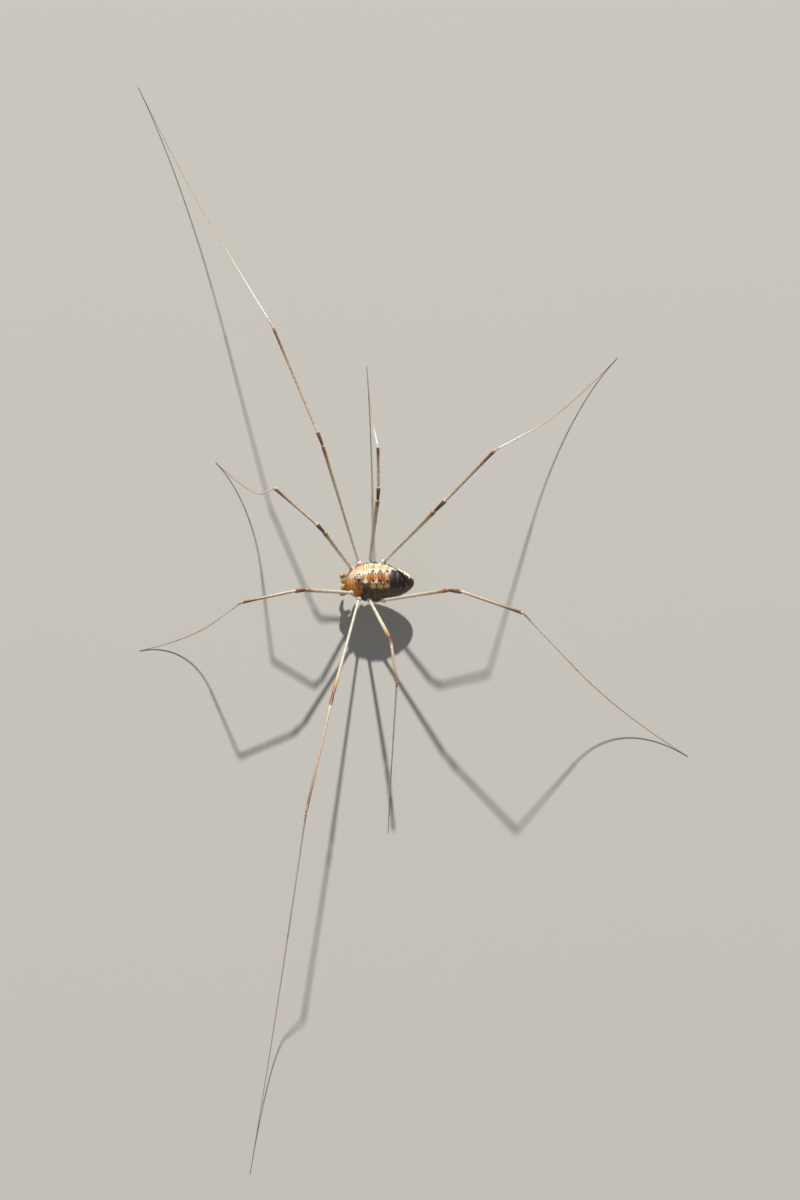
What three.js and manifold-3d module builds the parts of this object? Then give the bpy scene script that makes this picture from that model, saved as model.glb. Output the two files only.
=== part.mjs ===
// A harvestman at life size, standing with its eight long legs spread, in millimetres.
// +X runs towards the animal's rear, +Y to its right and +Z up. The feet rest at z = 0.

import * as THREE from 'three';
import { mergeVertices } from 'three/addons/utils/BufferGeometryUtils.js';
import Module from 'manifold-3d';

const wasm = await Module();
wasm.setup();

// Body, measured from its centre, which stands this high over the floor
const BODY_HEIGHT = 3.2;
const BODY_FRONT = -3.3;
const BODY_REAR = 3.5;
const BODY_WIDTH = 4.0;
const BACK_RISE = 1.75;
const BELLY_SAG = 1.55;
// How the body swells along its length: [place of its peak, power ahead of it, power behind it]
const FORM = { width: [0.46, 2.1, 1.25], back: [0.5, 1.9, 1.6], belly: [0.48, 2.0, 1.4] };
const BODY_SIDES = 28;
const BODY_SECTIONS = 14;
const SECTION_SPACING = 0.018;
const WAIST_X = -0.85;
const GROOVE_DEPTH = 0.045;
const GROOVE_WIDTH = 0.11;
const GROOVES = [-0.2, 0.45, 1.1, 1.7, 2.25, 2.75, 3.12];

// Gaps that part one piece from the next, and the size of the blocks that cut them
const GAP = 0.3;
const FINE_GAP = 0.15;
const CUTTER = 20;
const NEAR = 1e-6;

// Eye hill on the back of the head, with one eye on each side
const HILL = { x: -1.9, radius: 0.36, height: 0.46, flat: 0.17 };
const EYE = { radius: 0.19, y: 0.22, rise: 0.26 };

// Mouthparts from the root outwards: [x, distance from the midline, z from the body's centre, radius]
const MOUTH_SIDES = 8;
const MOUTH_X = -2.5;
const MOUTH_DROP = 0.12;
const MOUTHPARTS = {
  chelicera: [
    [-2.85, 0.33, -0.6, 0.17],
    [-3.3, 0.33, -0.54, 0.2],
    [-3.44, 0.33, -0.8, 0.2],
    [-3.38, 0.27, -1.4, 0.07],
  ],
  pedipalp: [
    [-2.95, 0.6, -1.15, 0.13],
    [-3.15, 0.92, -0.75, 0.15],
    [-3.45, 0.94, -0.8, 0.15],
    [-3.55, 0.86, -1.25, 0.14],
    [-3.4, 0.66, -1.95, 0.07],
  ],
};

// Leg joints at the body: where each hip ball sits, and where its coxa starts under the body
const HIP_RISE = 0.45;
const COXA_DROP = 1.2;
const HIP_RADIUS = 0.31;
const HIP_FLAT = 0.16;
const COXA_SHAPE = [[0, 0.18], [0.4, 0.24], [0.75, 0.27], [1, 0.24]];
const END_DOME = 0.7;
const DOME_SHOULDER = 0.6;
const THIGH_RADIUS = 0.29;
const FEMUR_ROOM = 2.5;
const HIPS = {
  1: { x: -2.6, y: 1.2, rootX: -2.25, rootY: 0.75 },
  2: { x: -1.9, y: 1.8, rootX: -1.62, rootY: 0.85 },
  3: { x: -0.85, y: 1.95, rootX: -0.9, rootY: 0.88 },
  4: { x: 0.5, y: 1.93, rootX: -0.15, rootY: 0.88 },
};

const PAIRS = [1, 2, 3, 4];
const SIDES = { right: 1, left: -1 };

// Lengths of each pair of legs, piece by piece
const LEGS = {
  1: { femur: 6.7, patella: 1.3, tibia: 5.3, metatarsus: 6.3, tarsus: 8.8 },
  2: { femur: 12.7, patella: 1.4, tibia: 11.6, metatarsus: 12.8, tarsus: 22.8 },
  3: { femur: 6.7, patella: 1.3, tibia: 3.9, metatarsus: 6.9, tarsus: 9.5 },
  4: { femur: 9.1, patella: 1.6, tibia: 6.8, metatarsus: 10.3, tarsus: 14.8 },
};

// The pose in degrees: the tibia's heading from +X towards +Y, how far the femur swings from that
// heading, how far the metatarsus turns from it, and how steeply femur, patella and tibia rise
const POSE = {
  '1_right': { heading: 140.4, swing: 3.3, turn: -5.4, femur: 59.5, patella: 43.8, tibia: 6.9 },
  '1_left': { heading: -165.1, swing: -1.0, turn: -2.0, femur: 46.9, patella: 28.2, tibia: 7.1 },
  '2_right': { heading: 112.6, swing: -2.0, turn: 2.7, femur: 35.6, patella: 12.9, tibia: 1.0 },
  '2_left': { heading: -101.4, swing: -1.3, turn: 2.4, femur: 28.4, patella: 21.5, tibia: 15.3 },
  '3_right': { heading: 91.4, swing: -9.3, turn: 3.3, femur: 41.5, patella: 32.7, tibia: 20.6 },
  '3_left': { heading: -82.7, swing: 12.9, turn: -10.1, femur: 41.0, patella: 29.4, tibia: 9.9 },
  '4_right': { heading: 42.9, swing: -9.9, turn: 4.6, femur: 51.4, patella: 38.4, tibia: 20.7 },
  '4_left': { heading: -25.9, swing: 18.3, turn: -6.5, femur: 48.0, patella: 33.1, tibia: 21.6 },
};
const PATELLA_SWING = 0.5;

// Leg thickness as radii along each piece: [fraction of its length, radius]
const LEG_SIDES = 8;
const SHAPES = {
  femur: [[0, 0.25], [0.05, THIGH_RADIUS], [0.3, 0.26], [0.75, 0.25], [0.93, 0.29], [1, 0.26]],
  patella: [[0, 0.25], [0.45, 0.29], [0.8, 0.3], [1, 0.26]],
  tibia: [[0, 0.25], [0.12, 0.28], [0.5, 0.25], [0.88, 0.27], [1, 0.25]],
  metatarsus: [[0, 0.25], [0.1, 0.27], [0.5, 0.25], [0.94, 0.26], [1, 0.24]],
};
const TARSUS_RADIUS = 0.25;
const TIP_RADIUS = 0.15;
const TARSUS_RINGS = 16;
const TARSUS_TAPER = 1.5;
const FOOT_HEIGHT = 0.12;

const COLOURS = {
  carapace: 0xb07438,
  abdomen: 0x8d6a3f,
  eye: 0x16110e,
  mouthpart: 0xc49a55,
  coxa: 0xcdb78c,
  femur: 0xd2c295,
  patella: 0x6b3325,
  tibia: 0xb79a72,
  metatarsus: 0xd8cdb0,
  tarsus: 0x9d8a70,
};

const model = new THREE.Group();

function vec(x, y, z) {
  return new THREE.Vector3(x, y, z);
}

function radians(degrees) {
  return THREE.MathUtils.degToRad(degrees);
}

// One closed skin: shared corners merged and flat slivers at the poles dropped
function weld(geometry) {
  const bare = geometry.clone();
  bare.deleteAttribute('normal');
  bare.deleteAttribute('uv');
  const merged = mergeVertices(bare);
  const index = merged.index.array;
  const kept = [];
  for (let i = 0; i < index.length; i += 3) {
    const [a, b, c] = index.slice(i, i + 3);
    if (a !== b && b !== c && c !== a) kept.push(a, b, c);
  }
  merged.setIndex(kept);
  return merged;
}

function toSolid(geometry) {
  const merged = weld(geometry);
  const mesh = new wasm.Mesh({
    numProp: 3,
    vertProperties: new Float32Array(merged.attributes.position.array),
    triVerts: new Uint32Array(merged.index.array),
  });
  return new wasm.Manifold(mesh);
}

// The largest closed surface of a solid, as geometry
function toGeometry(solid) {
  const pieces = solid.decompose();
  const largest = pieces.reduce((best, piece) => (piece.volume() > best.volume() ? piece : best));
  const mesh = largest.getMesh();
  const geometry = new THREE.BufferGeometry();
  geometry.setAttribute('position', new THREE.BufferAttribute(new Float32Array(mesh.vertProperties), 3));
  geometry.setIndex(new THREE.BufferAttribute(new Uint32Array(mesh.triVerts), 1));
  return geometry;
}

function addMesh(name, geometry, colour, roughness = 0.6) {
  geometry.computeVertexNormals();
  const material = new THREE.MeshStandardMaterial({ color: colour, roughness, metalness: 0 });
  const mesh = new THREE.Mesh(geometry, material);
  mesh.name = name;
  model.add(mesh);
  return mesh;
}

// A block that fills all space beyond a plane, for cutting
function beyond(point, normal) {
  const block = new THREE.BoxGeometry(CUTTER, CUTTER, CUTTER);
  block.translate(0, 0, CUTTER / 2);
  block.applyQuaternion(new THREE.Quaternion().setFromUnitVectors(vec(0, 0, 1), normal));
  block.translate(point.x, point.y, point.z);
  return toSolid(block);
}

// A round piece between two points whose radii are [fraction, radius], with domed ends
function limb(from, to, radii, sides = 10) {
  const length = from.distanceTo(to);
  const [, first] = radii[0];
  const [, last] = radii[radii.length - 1];
  const profile = [
    new THREE.Vector2(0, -first * END_DOME),
    new THREE.Vector2(first * END_DOME, -first * END_DOME * DOME_SHOULDER),
  ];
  for (const [fraction, radius] of radii) profile.push(new THREE.Vector2(radius, fraction * length));
  profile.push(new THREE.Vector2(last * END_DOME, length + last * END_DOME * DOME_SHOULDER));
  profile.push(new THREE.Vector2(0, length + last * END_DOME));
  const shape = new THREE.LatheGeometry(profile, sides);
  const along = to.clone().sub(from).normalize();
  shape.applyQuaternion(new THREE.Quaternion().setFromUnitVectors(vec(0, 1, 0), along));
  shape.translate(from.x, from.y, from.z);
  return toSolid(shape);
}

function ball(centre, radius, sides = 10, rings = 7) {
  const sphere = new THREE.SphereGeometry(radius, sides, rings);
  sphere.translate(centre.x, centre.y, centre.z);
  return toSolid(sphere);
}

// Body

// A rounded rise and fall from 0 at both ends to 1 at the peak, blunter where the power is higher
function swell(along, peak, frontPower, rearPower) {
  const ahead = along < peak;
  const t = ahead ? (peak - along) / peak : (along - peak) / (1 - peak);
  return Math.sqrt(Math.max(0, 1 - t ** (ahead ? frontPower : rearPower)));
}

function groove(x) {
  return Math.max(0, ...GROOVES.map((g) => 1 - Math.abs(x - g) / GROOVE_WIDTH));
}

// Fractions of the body's length where its sections stand: closer at the ends and at each groove
function sectionPlaces() {
  const length = BODY_REAR - BODY_FRONT;
  const places = GROOVES.flatMap((g) => [g - GROOVE_WIDTH, g, g + GROOVE_WIDTH])
    .map((x) => (x - BODY_FRONT) / length);
  for (let i = 0; i <= BODY_SECTIONS; i += 1) {
    const place = (1 - Math.cos((Math.PI * i) / BODY_SECTIONS)) / 2;
    const atEnd = i === 0 || i === BODY_SECTIONS;
    if (atEnd || places.every((p) => Math.abs(p - place) > SECTION_SPACING)) places.push(place);
  }
  return places.sort((a, b) => a - b);
}

// The whole body before it is parted: an egg with a pointed rear, ringed by shallow grooves
function bodyShape() {
  const places = sectionPlaces();
  const profile = places.map((place) => {
    const atEnd = place < NEAR || place > 1 - NEAR;
    return new THREE.Vector2(atEnd ? 0 : 1, place);
  });
  const shape = new THREE.LatheGeometry(profile, BODY_SIDES);
  const position = shape.attributes.position;
  for (let i = 0; i < position.count; i += 1) {
    const place = position.getY(i);
    const across = position.getZ(i);
    const up = position.getX(i);
    const x = THREE.MathUtils.lerp(BODY_FRONT, BODY_REAR, place);
    const inset = 1 - GROOVE_DEPTH * groove(x);
    const halfWidth = (BODY_WIDTH / 2) * swell(place, ...FORM.width) * inset;
    const top = BACK_RISE * swell(place, ...FORM.back) * inset;
    const bottom = BELLY_SAG * swell(place, ...FORM.belly) * inset;
    position.setXYZ(i, x, across * halfWidth, BODY_HEIGHT + up * (up > 0 ? top : bottom));
  }
  return toSolid(shape);
}

// Legs

function hipPoint(pair, side) {
  const hip = HIPS[pair];
  return vec(hip.x, side * hip.y, BODY_HEIGHT + HIP_RISE);
}

function coxaRoot(pair, side) {
  const hip = HIPS[pair];
  return vec(hip.rootX, side * hip.rootY, BODY_HEIGHT - COXA_DROP);
}

function direction(heading, rise) {
  const [h, r] = [radians(heading), radians(rise)];
  return vec(Math.cos(h) * Math.cos(r), Math.sin(h) * Math.cos(r), Math.sin(r));
}

// The steepness, in degrees, at which the metatarsus falls so that the tarsus, which bends
// evenly from there to level, ends lying on the floor
function fallAngle(kneeHeight, metatarsus, tarsus) {
  let low = 0.01;
  let high = radians(100);
  for (let i = 0; i < 50; i += 1) {
    const q = (low + high) / 2;
    const drop = metatarsus * Math.sin(q) + (tarsus * (1 - Math.cos(q))) / q;
    if (drop < kneeHeight - FOOT_HEIGHT) low = q;
    else high = q;
  }
  return THREE.MathUtils.radToDeg((low + high) / 2);
}

function jointBetween(before, after) {
  return before.clone().add(after).normalize();
}

// A straight leg piece. Each end is cut along the joint's own plane, half a gap from the joint.
function straightPiece(name, from, along, { length, radii, colour }, start, end) {
  const profile = [new THREE.Vector2(0, 0)];
  for (const [fraction, radius] of radii) profile.push(new THREE.Vector2(radius, fraction * length));
  profile.push(new THREE.Vector2(0, length));
  const shape = weld(new THREE.LatheGeometry(profile, LEG_SIDES));
  const turn = new THREE.Quaternion().setFromUnitVectors(vec(0, 1, 0), along);
  const back = turn.clone().invert();
  const startNormal = start.normal.clone().applyQuaternion(back);
  const endNormal = end.normal.clone().applyQuaternion(back);
  const position = shape.attributes.position;
  for (let i = 0; i < position.count; i += 1) {
    const [x, y, z] = [position.getX(i), position.getY(i), position.getZ(i)];
    if (y < NEAR) {
      position.setY(i, (start.inset - startNormal.x * x - startNormal.z * z) / startNormal.y);
    } else if (y > length - NEAR) {
      position.setY(i, length - (end.inset + endNormal.x * x + endNormal.z * z) / endNormal.y);
    }
  }
  const mesh = addMesh(name, shape, colour);
  mesh.quaternion.copy(turn);
  mesh.position.copy(from);
}

// The tarsus: a tapering tube that bends evenly from the metatarsus's fall to level, with the
// side that lies on the floor flat
function tarsusPiece(name, from, heading, fall, length, colour) {
  const profile = [new THREE.Vector2(0, 0)];
  for (let i = 0; i <= TARSUS_RINGS; i += 1) {
    const t = i / TARSUS_RINGS;
    const radius = THREE.MathUtils.lerp(TARSUS_RADIUS, TIP_RADIUS, t ** TARSUS_TAPER);
    profile.push(new THREE.Vector2(radius, t * length));
  }
  profile.push(new THREE.Vector2(0, length));
  const shape = weld(new THREE.LatheGeometry(profile, LEG_SIDES));
  const q = radians(fall);
  const position = shape.attributes.position;
  const side = direction(heading + 90, 0);
  for (let i = 0; i < position.count; i += 1) {
    const [across, reach, up] = [position.getX(i), position.getY(i), position.getZ(i)];
    const along = Math.max(reach, GAP / 2);
    const slope = q * (1 - along / length);
    const forward = (length / q) * (Math.sin(q) - Math.sin(slope));
    const drop = (length / q) * (Math.cos(slope) - Math.cos(q));
    const point = from.clone()
      .addScaledVector(direction(heading, 0), forward + up * Math.sin(slope))
      .addScaledVector(side, -across);
    point.z += up * Math.cos(slope) - drop;
    position.setXYZ(i, point.x, point.y, Math.max(0, point.z));
  }
  addMesh(name, shape, colour);
}

function coxaSolid(pair, side, margin = 0) {
  const root = coxaRoot(pair, side);
  const hip = hipPoint(pair, side);
  const radii = COXA_SHAPE.map(([fraction, radius]) => [fraction, radius + margin]);
  return limb(root, hip, radii).add(ball(hip, HIP_RADIUS + margin));
}

// The room that a coxa and the root of its femur need in the body
function hipRoom(pair, sideName) {
  const side = SIDES[sideName];
  const pose = POSE[`${pair}_${sideName}`];
  const hip = hipPoint(pair, side);
  const along = direction(pose.heading + pose.swing, pose.femur);
  const reach = hip.clone().addScaledVector(along, FEMUR_ROOM);
  const radius = THIGH_RADIUS + GAP;
  return coxaSolid(pair, side, GAP).add(limb(hip, reach, [[0, radius], [1, radius]]));
}

function addLeg(pair, sideName) {
  const side = SIDES[sideName];
  const name = `leg_${pair}_${sideName}`;
  const size = LEGS[pair];
  const pose = POSE[`${pair}_${sideName}`];
  const hip = hipPoint(pair, side);

  const along = {
    femur: direction(pose.heading + pose.swing, pose.femur),
    patella: direction(pose.heading + pose.swing * PATELLA_SWING, pose.patella),
    tibia: direction(pose.heading, pose.tibia),
  };
  const knee = hip.clone();
  for (const piece of ['femur', 'patella', 'tibia']) knee.addScaledVector(along[piece], size[piece]);
  const fall = fallAngle(knee.z, size.metatarsus, size.tarsus);
  along.metatarsus = direction(pose.heading + pose.turn, -fall);

  const socket = hip.clone().addScaledVector(along.femur, HIP_FLAT);
  const coxa = coxaSolid(pair, side).subtract(beyond(socket, along.femur));
  addMesh(`${name}_coxa`, toGeometry(coxa), COLOURS.coxa);

  const pieces = ['femur', 'patella', 'tibia', 'metatarsus'];
  const joint = hip.clone();
  pieces.forEach((piece, i) => {
    const before = along[pieces[i - 1]];
    const after = along[pieces[i + 1]];
    const start = before
      ? { normal: jointBetween(before, along[piece]), inset: GAP / 2 }
      : { normal: along[piece], inset: HIP_FLAT + GAP };
    const end = { normal: after ? jointBetween(along[piece], after) : along[piece], inset: GAP / 2 };
    const shape = { length: size[piece], radii: SHAPES[piece], colour: COLOURS[piece] };
    straightPiece(`${name}_${piece}`, joint, along[piece], shape, start, end);
    joint.addScaledVector(along[piece], size[piece]);
  });
  tarsusPiece(`${name}_tarsus`, joint, pose.heading + pose.turn, fall, size.tarsus, COLOURS.tarsus);
}

for (const pair of PAIRS) {
  for (const sideName of Object.keys(SIDES)) addLeg(pair, sideName);
}

// A bent piece: round lengths joined from point to point, each point as [x, y, z, radius]
function chain(side, points) {
  const lengths = points.slice(1).map(([x, y, z, radius], i) => {
    const [x0, y0, z0, radius0] = points[i];
    const from = vec(x0, side * y0, BODY_HEIGHT + z0);
    const to = vec(x, side * y, BODY_HEIGHT + z);
    return limb(from, to, [[0, radius0], [1, radius]], MOUTH_SIDES);
  });
  return lengths.reduce((joined, length) => joined.add(length));
}

// Mouthparts: two small pincers and, outside them, two short feelers
for (const [sideName, side] of Object.entries(SIDES)) {
  for (const [name, points] of Object.entries(MOUTHPARTS)) {
    addMesh(`${name}_${sideName}`, toGeometry(chain(side, points)), COLOURS.mouthpart);
  }
}

// Head and abdomen, cut clear of the coxae, with a recess under the brow for the mouthparts
{
  const whole = bodyShape();
  const rooms = PAIRS.flatMap((pair) => Object.keys(SIDES).map((sideName) => hipRoom(pair, sideName)));
  const carve = (solid) => rooms.reduce((rest, room) => rest.subtract(room), solid);
  const mouth = new THREE.BoxGeometry(BODY_WIDTH, BODY_WIDTH, BODY_WIDTH);
  mouth.translate(MOUTH_X - BODY_WIDTH / 2, 0, BODY_HEIGHT - MOUTH_DROP - BODY_WIDTH / 2);
  const front = carve(whole.subtract(beyond(vec(WAIST_X - GAP / 2, 0, 0), vec(1, 0, 0))))
    .subtract(toSolid(mouth));
  const rear = carve(whole.subtract(beyond(vec(WAIST_X + GAP / 2, 0, 0), vec(-1, 0, 0))));

  const place = (HILL.x - BODY_FRONT) / (BODY_REAR - BODY_FRONT);
  const backHeight = BODY_HEIGHT + BACK_RISE * swell(place, ...FORM.back);
  const hillShape = new THREE.SphereGeometry(1, 12, 8);
  hillShape.scale(HILL.radius, HILL.radius, HILL.height);
  hillShape.translate(HILL.x, 0, backHeight);
  const hill = Object.values(SIDES).reduce(
    (rest, side) => rest.subtract(beyond(vec(HILL.x, side * HILL.flat, 0), vec(0, side, 0))),
    toSolid(hillShape),
  );
  addMesh('prosoma', toGeometry(front.add(hill)), COLOURS.carapace);
  addMesh('opisthosoma', toGeometry(rear), COLOURS.abdomen);

  for (const [sideName, side] of Object.entries(SIDES)) {
    const centre = vec(HILL.x, side * EYE.y, backHeight + EYE.rise);
    const eye = ball(centre, EYE.radius, 12, 8)
      .subtract(beyond(vec(0, side * (HILL.flat + FINE_GAP), 0), vec(0, -side, 0)));
    addMesh(`eye_${sideName}`, toGeometry(eye), COLOURS.eye, 0.15);
  }
}

// The origin lies on the floor, under the middle of the whole animal's box
const box = new THREE.Box3().setFromObject(model, true);
const centre = box.getCenter(vec(0, 0, 0));
model.position.set(-centre.x, -centre.y, -box.min.z);

export default model;
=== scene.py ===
"""A harvestman at life size, standing on a pale floor with its long legs spread."""

import math
import random

import bmesh
import bpy
from mathutils import Matrix, Vector


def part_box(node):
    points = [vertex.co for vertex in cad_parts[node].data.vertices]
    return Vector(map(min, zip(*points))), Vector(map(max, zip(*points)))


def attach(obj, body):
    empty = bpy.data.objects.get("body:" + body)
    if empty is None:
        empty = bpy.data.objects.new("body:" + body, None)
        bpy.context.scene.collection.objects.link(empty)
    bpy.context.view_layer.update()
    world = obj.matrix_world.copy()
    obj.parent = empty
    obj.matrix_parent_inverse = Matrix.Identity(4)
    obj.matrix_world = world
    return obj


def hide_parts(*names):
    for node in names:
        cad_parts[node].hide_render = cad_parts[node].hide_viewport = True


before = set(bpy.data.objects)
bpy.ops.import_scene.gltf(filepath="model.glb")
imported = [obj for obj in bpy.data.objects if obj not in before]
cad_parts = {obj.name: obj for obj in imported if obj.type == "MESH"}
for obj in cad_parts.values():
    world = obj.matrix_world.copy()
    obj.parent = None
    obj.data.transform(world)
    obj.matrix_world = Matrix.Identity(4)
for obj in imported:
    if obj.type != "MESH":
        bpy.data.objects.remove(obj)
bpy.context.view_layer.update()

# Where the animal stands
# The animal is described in millimetres from the middle of its body, +X to its rear, +Y to its
# right. The frame says where that middle is: between the eyes, and short of the abdomen's end.
MM = 0.001
BODY_HEIGHT = 3.2
BODY_FRONT = -3.3
BODY_REAR = 3.5
eyes = [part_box("eye_left"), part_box("eye_right")]
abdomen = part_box("opisthosoma")
middle = Vector((
    abdomen[1][0] / MM - BODY_REAR,
    (eyes[0][0][1] + eyes[1][1][1]) / (2 * MM),
    0.0,
))

# Camera
# It looks down on the back with the head to the left, tipped a little towards the animal's left
# side, as the photo does.
LENS = 100
SENSOR = 36
VIEW_DISTANCE = 328.6
VIEW_TILT = (-0.0254, -0.2728)
VIEW_TARGET = (2.20, -0.90)

view = bpy.data.objects.new("view", bpy.data.cameras.new("view"))
bpy.context.collection.objects.link(view)
view.data.lens = LENS
view.data.sensor_width = SENSOR
view.data.clip_start = 0.005
view.data.clip_end = 10
away = Vector((*VIEW_TILT, 1)).normalized()
aim = middle + Vector((*VIEW_TARGET, 0))
right = (-away).cross(Vector((0, 1, 0))).normalized()
up = right.cross(-away)
view.matrix_world = Matrix.Translation((aim + away * VIEW_DISTANCE) * MM) @ Matrix((
    (right.x, up.x, away.x, 0),
    (right.y, up.y, away.y, 0),
    (right.z, up.z, away.z, 0),
    (0, 0, 0, 1),
))
bpy.context.scene.camera = view

# Light and floor
# A soft key light comes from the animal's right, as the sun does in the photo, with a pale sky
# and a weak fill, over a plain pale floor.
KEY_SLANT = (0.01, 1.3, 1.0)
FILL_SLANT = (-0.5, -1.0, 1.6)
SKY_COLOUR = (0.9, 0.94, 1, 1)
SKY_STRENGTH = 0.2
FLOOR_SIZE = 3.0


def add_light(name, slant, distance, size, power, colour=(1, 1, 1)):
    lamp = bpy.data.objects.new(name, bpy.data.lights.new(name, "AREA"))
    bpy.context.collection.objects.link(lamp)
    lamp.data.shape = "DISK"
    lamp.data.size = size
    lamp.data.energy = power
    lamp.data.color = colour
    towards = Vector(slant).normalized()
    lamp.location = (middle * MM) + towards * distance
    lamp.rotation_euler = towards.to_track_quat("Z", "Y").to_euler()


add_light("key", KEY_SLANT, distance=2.5, size=0.09, power=84, colour=(1, 0.97, 0.93))
add_light("fill", FILL_SLANT, distance=0.6, size=0.5, power=0.22, colour=(0.9, 0.95, 1))

world = bpy.data.worlds.new("studio")
bpy.context.scene.world = world
world.use_nodes = True
sky = world.node_tree.nodes["Background"]
sky.inputs["Color"].default_value = SKY_COLOUR
sky.inputs["Strength"].default_value = SKY_STRENGTH
bpy.context.scene.view_settings.view_transform = "Standard"


def linear(colour):
    """An sRGB hex colour as linear red, green, blue and alpha."""
    channels = [int(colour[i:i + 2], 16) / 255 for i in (1, 3, 5)]
    return (*[c / 12.92 if c <= 0.04045 else ((c + 0.055) / 1.055) ** 2.4 for c in channels], 1)


def add_node(tree, kind, inputs=(), stops=(), **settings):
    """A node with its settings, its inputs as values or linked sockets, and a ramp's stops."""
    made = tree.nodes.new(kind)
    for name, value in settings.items():
        setattr(made, name, value)
    for name, value in dict(inputs).items():
        if isinstance(value, bpy.types.NodeSocket):
            tree.links.new(value, made.inputs[name])
        else:
            made.inputs[name].default_value = value
    if stops:
        elements = made.color_ramp.elements
        elements.remove(elements[-1])
        for index, (at, colour) in enumerate(stops):
            element = elements[0] if index == 0 else elements.new(at)
            element.position = at
            element.color = linear(colour)
    return made


def new_material(name):
    made = bpy.data.materials.new(name)
    made.use_nodes = True
    return made, made.node_tree, made.node_tree.nodes["Principled BSDF"]


bm = bmesh.new()
bmesh.ops.create_grid(bm, x_segments=1, y_segments=1, size=FLOOR_SIZE / 2)
mesh = bpy.data.meshes.new("floor")
bm.to_mesh(mesh)
bm.free()
floor = bpy.data.objects.new("floor", mesh)
bpy.context.collection.objects.link(floor)
painted, tree, shader = new_material("pale_painted_board")
shader.inputs["Base Color"].default_value = linear("#C2BFB8")
shader.inputs["Roughness"].default_value = 0.8
shader.inputs["Specular IOR Level"].default_value = 0.2
mesh.materials.append(painted)

# Legs
# Each leg is a chain of hard hollow tubes of horny cuticle: trochanter, femur, patella, tibia,
# metatarsus and a whip-like tarsus of many rings. Each tube starts inside the flared end of the
# one before it and is swept ring by ring along its own axis, then set with spines and bristles.
HIP_RISE = 0.45
HIPS = {1: (-2.6, 1.2), 2: (-1.9, 1.8), 3: (-0.85, 1.95), 4: (0.5, 1.93)}
LEGS = {
    1: {"femur": 6.7, "patella": 1.3, "tibia": 5.3, "metatarsus": 6.3, "tarsus": 8.8},
    2: {"femur": 12.7, "patella": 1.4, "tibia": 11.6, "metatarsus": 12.8, "tarsus": 22.8},
    3: {"femur": 6.7, "patella": 1.3, "tibia": 3.9, "metatarsus": 6.9, "tarsus": 9.5},
    4: {"femur": 9.1, "patella": 1.6, "tibia": 6.8, "metatarsus": 10.3, "tarsus": 14.8},
}
# Heading of the tibia, swing of the femur and turn of the metatarsus from it, and rise of femur,
# patella and tibia, in degrees
POSE = {
    "1_right": (140.4, 3.3, -5.4, 59.5, 43.8, 6.9),
    "1_left": (-165.1, -1.0, -2.0, 46.9, 28.2, 7.1),
    "2_right": (112.6, -2.0, 2.7, 35.6, 12.9, 1.0),
    "2_left": (-101.4, -1.3, 2.4, 28.4, 21.5, 15.3),
    "3_right": (91.4, -9.3, 3.3, 41.5, 32.7, 20.6),
    "3_left": (-82.7, 12.9, -10.1, 41.0, 29.4, 9.9),
    "4_right": (42.9, -9.9, 4.6, 51.4, 38.4, 20.7),
    "4_left": (-25.9, 18.3, -6.5, 48.0, 33.1, 21.6),
}
PATELLA_SWING = 0.5
SIDES = {"right": 1, "left": -1}
# Half thickness of each pair's pieces, at the full width of each
GIRTH = {
    1: {"femur": 0.19, "patella": 0.19, "tibia": 0.145, "metatarsus": 0.095, "tarsus": 0.062},
    2: {"femur": 0.16, "patella": 0.17, "tibia": 0.12, "metatarsus": 0.085, "tarsus": 0.055},
    3: {"femur": 0.19, "patella": 0.19, "tibia": 0.145, "metatarsus": 0.095, "tarsus": 0.062},
    4: {"femur": 0.19, "patella": 0.195, "tibia": 0.15, "metatarsus": 0.1, "tarsus": 0.062},
}
# Outline of each piece: [place along it, share of the full half thickness]
OUTLINES = {
    "femur": [(0, 0.35), (0.008, 0.62), (0.03, 0.84), (0.1, 0.78), (0.45, 0.88), (0.8, 0.98),
              (0.965, 1.1), (0.988, 1.06), (0.997, 0.85), (1.0, 0.5)],
    "patella": [(-0.03, 0.3), (0.0, 0.68), (0.1, 0.74), (0.5, 0.96), (0.85, 1.08), (0.97, 1.02),
                (1.01, 0.8), (1.03, 0.4)],
    "tibia": [(-0.01, 0.3), (0.0, 0.75), (0.03, 0.98), (0.2, 1.0), (0.55, 0.92), (0.88, 1.0),
              (0.965, 1.16), (0.99, 1.08), (1.0, 0.85), (1.004, 0.4)],
    "metatarsus": [(-0.01, 0.4), (0.0, 0.85), (0.02, 1.12), (0.1, 1.05), (0.5, 0.9), (0.95, 0.85),
                   (0.99, 0.95), (1.0, 0.7), (1.002, 0.3)],
}
PARTS = ["trochanter", "femur", "patella", "tibia", "metatarsus", "tarsus"]
TARSUS = PARTS.index("tarsus")
TUBE_SIDES = 14
TARSUS_SIDES = 10
RING_SPACING = 0.45
RINGS_APART = 0.05
TARSAL_RING = 0.34
TARSAL_SWELL = ((0.0, 0.84), (0.2, 1.0), (0.85, 1.07), (0.95, 0.94))
TARSAL_TAPER = 1.2
TIP_SHARE = 0.5
TIP_ROUND = 0.5
HIP_BALL = 0.28
HIP_BALL_FLAT = 0.95
HIP_BALL_END = 0.06
HIP_RINGS = 10
# Rows of spines and bristles on each piece: rows, spacing, length, half width, lean to the tip
SPINES = {
    "femur": (6, 0.5, 0.1, 0.02, 0.5),
    "patella": (6, 0.3, 0.1, 0.018, 0.6),
    "tibia": (5, 0.55, 0.17, 0.012, 1.6),
    "metatarsus": (4, 0.6, 0.16, 0.01, 1.8),
    "tarsus": (3, 0.4, 0.11, 0.007, 1.6),
}
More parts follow.
